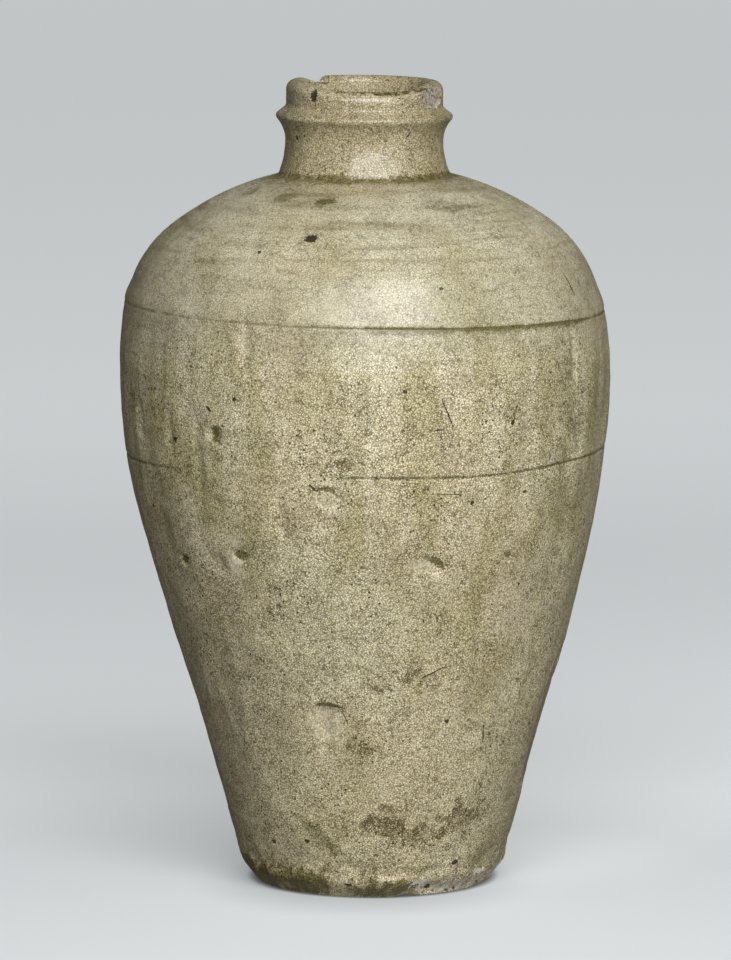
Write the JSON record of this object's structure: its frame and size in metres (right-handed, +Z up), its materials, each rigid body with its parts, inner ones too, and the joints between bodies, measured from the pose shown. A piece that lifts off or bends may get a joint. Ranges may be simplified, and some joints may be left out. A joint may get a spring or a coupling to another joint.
{
  "type": "meiping vase",
  "caption": "Tall high-shouldered stoneware vase with a short ridged neck and small rolled mouth, luted from thrown sections under a crackled celadon glaze; holds stems.",
  "frame": {"origin": "centre of the foot ring's resting plane, on the axis of the vase", "axes": "+Z up along the axis to the mouth; the side shown in the picture faces -Y; +X to its right"},
  "size_m": [0.184, 0.184, 0.3],
  "materials": {
    "clay": "bare fired stoneware, matt and gritty",
    "slip": "fired luting slip, matt",
    "glaze": "buff olive celadon with a fine crackle, semi-gloss"
  },
  "bodies": {
    "root": {"base_slab": "clay", "base_luting": "slip", "lower_wall": "clay", "lower_luting": "slip", "belly_wall": "clay", "upper_luting": "slip", "shoulder": "clay", "neck_luting": "slip", "neck": "clay", "outer_glaze": "glaze", "mouth_glaze": "glaze"}
  },
  "joints": []
}
